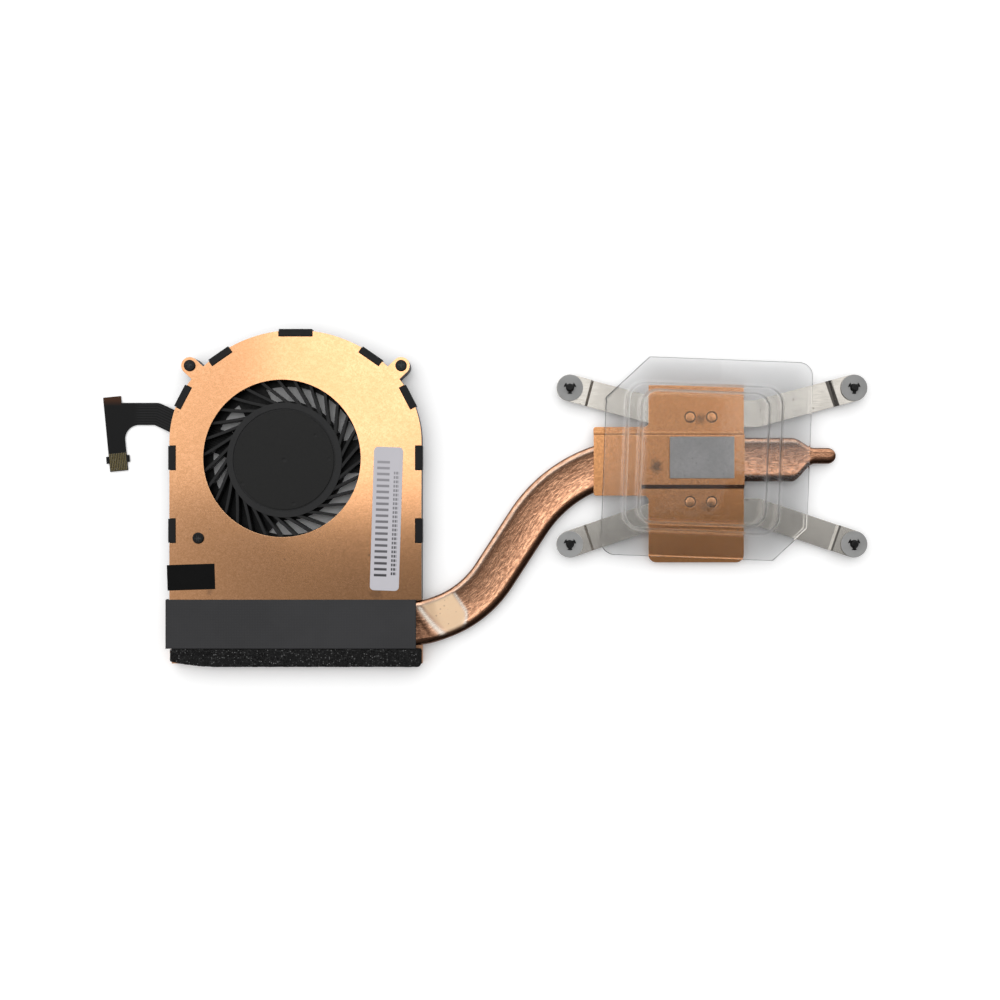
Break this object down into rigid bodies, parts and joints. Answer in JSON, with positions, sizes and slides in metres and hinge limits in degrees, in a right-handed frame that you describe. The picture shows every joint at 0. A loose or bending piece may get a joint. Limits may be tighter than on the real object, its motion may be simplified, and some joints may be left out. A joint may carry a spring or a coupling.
{
  "type": "laptop cooling fan with heat pipe and cold plate",
  "caption": "Flat copper laptop blower with fins, a bent flat heat pipe and a cold plate on sprung screw arms under a clear cap.",
  "frame": {"origin": "the fan's spin axis on the underside of the fan housing", "axes": "+Z out of the fan's intake, +X from the fan towards the cold plate along the longest extent, +Y away from the fin stack"},
  "size_m": [0.2208, 0.0967, 0.0062],
  "materials": {
    "copper_cover": "satin rolled copper",
    "black_plastic": "black moulded plastic",
    "impeller_plastic": "dark grey moulded plastic",
    "rotor_steel": "drawn steel",
    "magnet": "bonded magnet",
    "shaft_steel": "ground steel",
    "sintered_bronze": "sintered bronze",
    "wear_plastic": "wear resistant plastic",
    "core_steel": "stamped laminations",
    "copper_wire": "enamelled wire",
    "board_green": "solder mask",
    "flex_film": "black cover film",
    "contact_gold": "gold-plated contacts",
    "stiffener_film": "polyimide film",
    "fin_copper": "thin copper fins",
    "pipe_copper": "bright drawn copper",
    "plate_copper": "satin copper sheet",
    "pad_grey": "thermal compound pad",
    "bracket_steel": "brushed spring steel",
    "black_screw": "black zinc",
    "captive_black": "black zinc",
    "retainer_grey": "grey nylon washer",
    "clear_film": "clear thermoformed film",
    "grey_tape": "dark grey woven tape",
    "foam_black": "open-cell foam",
    "label_white": "printed label stock",
    "black_tape": "black tape"
  },
  "bodies": {
    "cooler": {"fan_cover": "copper_cover", "fan_housing": "black_plastic", "bearing_sleeve": "sintered_bronze", "thrust_pad": "wear_plastic", "stator_core": "core_steel", "coil_1": "copper_wire", "coil_2": "copper_wire", "coil_3": "copper_wire", "coil_4": "copper_wire", "coil_5": "copper_wire", "coil_6": "copper_wire", "driver_board": "board_green", "flex_circuit": "flex_film", "contact_1": "contact_gold", "contact_2": "contact_gold", "contact_3": "contact_gold", "contact_4": "contact_gold", "contact_5": "contact_gold", "contact_6": "contact_gold", "contact_7": "contact_gold", "contact_8": "contact_gold", "contact_9": "contact_gold", "contact_10": "contact_gold", "flex_stiffener": "stiffener_film", "fin_stack": "fin_copper", "heat_pipe": "pipe_copper", "cold_plate": "plate_copper", "thermal_pad": "pad_grey", "upper_bracket": "bracket_steel", "lower_bracket": "bracket_steel", "cover_screw_1": "black_screw", "cover_screw_2": "black_screw", "cover_screw_3": "black_screw", "protective_cap": "clear_film", "pipe_tape": "grey_tape", "foam_strip": "foam_black", "rating_label": "label_white", "wall_tape": "black_tape"},
    "rotor": {"impeller": "impeller_plastic", "rotor_cup": "rotor_steel", "magnet_ring": "magnet", "shaft": "shaft_steel"},
    "captive_1": {"captive_screw_1": "captive_black", "retainer_1": "retainer_grey"},
    "captive_2": {"captive_screw_2": "captive_black", "retainer_2": "retainer_grey"},
    "captive_3": {"captive_screw_3": "captive_black", "retainer_3": "retainer_grey"},
    "captive_4": {"captive_screw_4": "captive_black", "retainer_4": "retainer_grey"}
  },
  "joints": [
    {"name": "impeller_spin", "type": "hinge", "parent": "cooler", "child": "rotor", "pos_m": [0, 0, 0.002], "axis": [0, 0, 1], "continuous": true},
    {"name": "captive_1_lift", "type": "slide", "parent": "cooler", "child": "captive_1", "axis": [0, 0, 1], "range_m": [0, 0.0012]},
    {"name": "captive_2_lift", "type": "slide", "parent": "cooler", "child": "captive_2", "axis": [0, 0, 1], "range_m": [0, 0.0012]},
    {"name": "captive_3_lift", "type": "slide", "parent": "cooler", "child": "captive_3", "axis": [0, 0, 1], "range_m": [0, 0.0012]},
    {"name": "captive_4_lift", "type": "slide", "parent": "cooler", "child": "captive_4", "axis": [0, 0, 1], "range_m": [0, 0.0012]}
  ]
}
